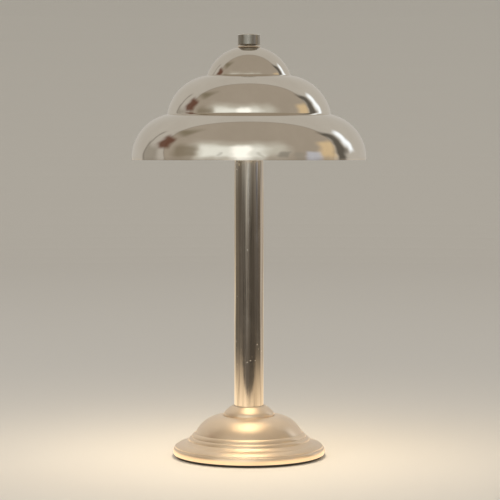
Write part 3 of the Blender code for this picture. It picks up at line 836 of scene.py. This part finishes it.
def painted_reflection_glow():
    """Painted light for reflections: the lamp's warm pool, bright near it and fading to a dim floor,
    dark to the right and behind, warm straight behind.
    """
    graph = Graph("painted_reflection_glow")
    place = graph.place()
    away = graph.node("ShaderNodeVectorMath", {0: place}, operation='LENGTH').outputs[1]
    x, y = graph.node("ShaderNodeSeparateXYZ", {0: place}).outputs[:2]
    right = graph.math('MULTIPLY', graph.spread(graph.math('DIVIDE', x, away), 0.5, 0.6, 0.0, 1.0),
                       graph.spread(graph.math('DIVIDE', y, away), 0.2, 0.3, 0.0, 1.0))
    behind = graph.spread(graph.math('DIVIDE', y, away), 0.6, 0.8, 0.0, 1.0)
    # painted reflection: a dark stretch to the right and behind, a warm one straight behind, and the
    # lamp's bright pool near it
    far = graph.mix(right, (0.14, 0.12, 0.095), (0.84, 0.72, 0.60))
    far = graph.mix(behind, far, (0.80, 0.67, 0.49))
    glow = graph.mix(graph.spread(away, 0.15, 0.92, 0.0, 1.0, smooth=True), (1.65, 1.26, 0.84), far)
    return graph.finish(Base_Color=(0.0, 0.0, 0.0), Roughness=1.0, Emission_Color=glow,
                        Emission_Strength=1.0)


class Sky(Nodes):
    """A room of light, painted by direction: azimuth 0 is towards the camera, 90 to the right."""

    def __init__(self, world):
        super().__init__(world.node_tree)
        self.tree.nodes.clear()
        way = self.node("ShaderNodeTexCoord").outputs["Generated"]
        self.x, self.y, self.z = self.node("ShaderNodeSeparateXYZ", {0: way}).outputs
        front = self.math('MULTIPLY', self.y, -1.0)
        wave = self.node("ShaderNodeTexNoise", {"Vector": way, "Scale": 3.2, "Detail": 1.0})
        wave_x, wave_y = self.node("ShaderNodeSeparateColor", {0: wave.outputs[1]}).outputs[:2]
        azimuth = self.math('DEGREES', self.math('ARCTAN2', self.x, front))
        height = self.math('DEGREES', self.math('ARCSINE', self.z))
        self.azimuth = self.math('ADD', azimuth, self.spread(wave_x, 0.25, 0.75, -4.0, 4.0))
        self.height = self.math('ADD', height, self.spread(wave_y, 0.25, 0.75, -3.0, 3.0))
        self.level = height

    def band(self, value, middle, half, soft):
        """1 within half of the middle, fading to 0 over soft."""
        off = self.math('ABSOLUTE', self.math('SUBTRACT', value, middle))
        return self.spread(off, half + soft / 2, half - soft / 2, 0.0, 1.0, smooth=True)

    def patch(self, under, azimuth, half_width, height, half_height, soft, colour, amount):
        """A soft-edged panel laid over the colour under it."""
        mask = self.math('MULTIPLY', self.band(self.azimuth, azimuth, half_width, soft),
                         self.band(self.height, height, half_height, soft))
        return self.mix(self.math('MULTIPLY', mask, amount), under, colour)


# azimuth, half width, height, half height, softness (degrees), colour, amount
PANELS = (
    # a window before the lamp, wide and soft, then its bright middle and its bars
    (-12.0, 50.0, 20.0, 16.0, 24.0, (0.64, 0.62, 0.55), 1.0),
    (-16.0, 34.0, 15.0, 14.0, 13.0, (0.98, 1.0, 0.94), 1.0),
    (-7.0, 10.0, 15.0, 14.0, 9.0, (1.4, 1.41, 1.35), 1.0),
    (-30.0, 2.0, 9.0, 5.0, 4.0, (0.62, 0.62, 0.58), 0.8),
    (12.0, 1.5, 9.0, 7.0, 4.0, (0.45, 0.43, 0.38), 0.6),
    # two dark shapes, a pale blue one and a warm one on the right, and a dark one on the left
    (35.0, 6.0, 8.0, 6.0, 5.0, (0.3, 0.28, 0.24), 0.8),
    (52.0, 5.0, 6.0, 5.0, 5.0, (0.36, 0.33, 0.28), 0.8),
    (69.0, 9.0, 7.0, 7.0, 6.0, (0.62, 0.65, 0.75), 0.8),
    (86.0, 10.0, 16.0, 14.0, 12.0, (0.82, 0.63, 0.38), 0.85),
    (-68.0, 12.0, 14.0, 12.0, 12.0, (0.24, 0.2, 0.14), 0.75),
    # a dark edge and a bright strip beside it, far on the right
    (104.0, 6.0, 20.0, 24.0, 7.0, (0.09, 0.08, 0.065), 0.9),
    (119.0, 5.0, 22.0, 15.0, 8.0, (1.25, 1.35, 1.45), 1.0),
    # brown and grey shapes, far on the left
    (-112.0, 9.0, 3.0, 14.0, 9.0, (0.34, 0.31, 0.26), 0.8),
    (-92.0, 12.0, 50.0, 6.0, 14.0, (0.2, 0.17, 0.11), 0.8),
    (-98.0, 9.0, 27.0, 9.0, 8.0, (0.15, 0.07, 0.045), 0.95),
    (-122.0, 1.5, 18.0, 20.0, 6.0, (0.16, 0.14, 0.11), 0.8),
)
# the same for what lies below the horizon, which the stem mirrors
LOW_PANELS = (
    (121.0, 13.0, 0.0, 14.0, 8.0, (0.64, 0.56, 0.48), 1.0),
    (-104.0, 20.0, 0.0, 14.0, 6.0, (0.17, 0.14, 0.105), 1.0),
    (92.0, 7.0, 0.0, 14.0, 6.0, (0.14, 0.115, 0.09), 1.0),
    (-10.0, 12.0, 0.0, 8.0, 8.0, (0.21, 0.18, 0.15), 1.0),
    (-20.0, 5.0, 0.0, 3.0, 5.0, (0.66, 0.62, 0.54), 1.0),
)


def paint_above(sky):
    """A dim ceiling and a paler rear wall with a dark line between them, then the panels."""
    lean = 0.23
    edge = 0.012
    rear = sky.math('SUBTRACT', sky.y, sky.math('MULTIPLY', sky.z, lean))
    tone = sky.mix(sky.spread(rear, -edge, edge, 0.0, 1.0, smooth=True),
                   (0.42, 0.37, 0.305), (0.55, 0.52, 0.47))
    line = sky.math('MULTIPLY', sky.band(rear, 0.0, edge, 0.03), 0.5)
    tone = sky.mix(line, tone, (0.22, 0.19, 0.15))
    for panel in PANELS:
        tone = sky.patch(tone, *panel)
    return tone


def paint_below(sky):
    """Dark in front and lighter behind, with a warm glow just under the horizon behind."""
    tone = sky.mix(sky.spread(sky.y, -0.15, 0.25, 0.0, 1.0, smooth=True),
                   (0.13, 0.11, 0.09), (0.55, 0.47, 0.38))
    behind = sky.math('MULTIPLY', sky.spread(sky.y, 0.5, 0.75, 0.0, 1.0, smooth=True),
                      sky.spread(sky.level, -13.0, -9.0, 0.0, 1.0, smooth=True))
    glow = sky.mix(sky.spread(sky.level, -2.5, -5.0, 0.0, 1.0), (0.54, 0.46, 0.35),
                   (0.95, 0.80, 0.59))
    tone = sky.mix(behind, tone, glow)
    for panel in LOW_PANELS:
        tone = sky.patch(tone, *panel)
    return tone


def make_world():
    world = bpy.data.worlds.new("studio")
    bpy.context.scene.world = world
    world.use_nodes = True
    sky = Sky(world)
    under = sky.spread(sky.level, 0.6, -1.4, 0.0, 1.0, smooth=True)
    tone = sky.mix(under, paint_above(sky), paint_below(sky))

    light = sky.node("ShaderNodeBackground", {"Color": tone})
    out = sky.node("ShaderNodeOutputWorld")
    sky.tree.links.new(light.outputs[0], out.inputs[0])


def softbox(name, place, aim, size, power, colour=(1.0, 0.985, 0.96)):
    """A soft square light that lights the stage and leaves no reflection of itself."""
    data = bpy.data.lights.new(name, 'AREA')
    data.size = size
    data.energy = power
    data.color = colour
    made = add_object(name, data)
    made.location = place
    made.rotation_euler = (Vector(aim) - Vector(place)).to_track_quat('-Z', 'Y').to_euler()
    made.visible_camera = False
    made.visible_glossy = False
    return made


def make_lights():
    """One soft light above, and the lamp's own: its pool, and its glints on the base."""
    softbox("overhead", (-0.6, -0.8, 2.6), (0.0, 0.1, 0.0), size=2.4, power=20)
    under = (0.0, 0.0, (OPAL_BOTTOM_Z - 2.5) * MM)
    for name, power, colour in (("lamp_pool", 0.55, (1.0, 0.76, 0.49)),
                                ("lamp_light", 0.5, (1.0, 0.86, 0.63))):
        glow = softbox(name, under, (0.0, 0.0, 0.0), 2 * OPAL_R * MM, power, colour)
        glow.data.shape = 'DISK'
        glow.visible_glossy = name == "lamp_light"


def make_camera():
    data = bpy.data.cameras.new("camera")
    data.sensor_width = 36.0
    data.lens = CAMERA_LENS
    made = add_object("camera", data)
    made.location = CAMERA_PLACE
    made.rotation_euler = (math.radians(90 - CAMERA_PITCH), 0.0, 0.0)
    bpy.context.scene.camera = made


make_floor()
make_world()
make_lights()
make_camera()
bpy.context.scene.view_settings.view_transform = 'Standard'
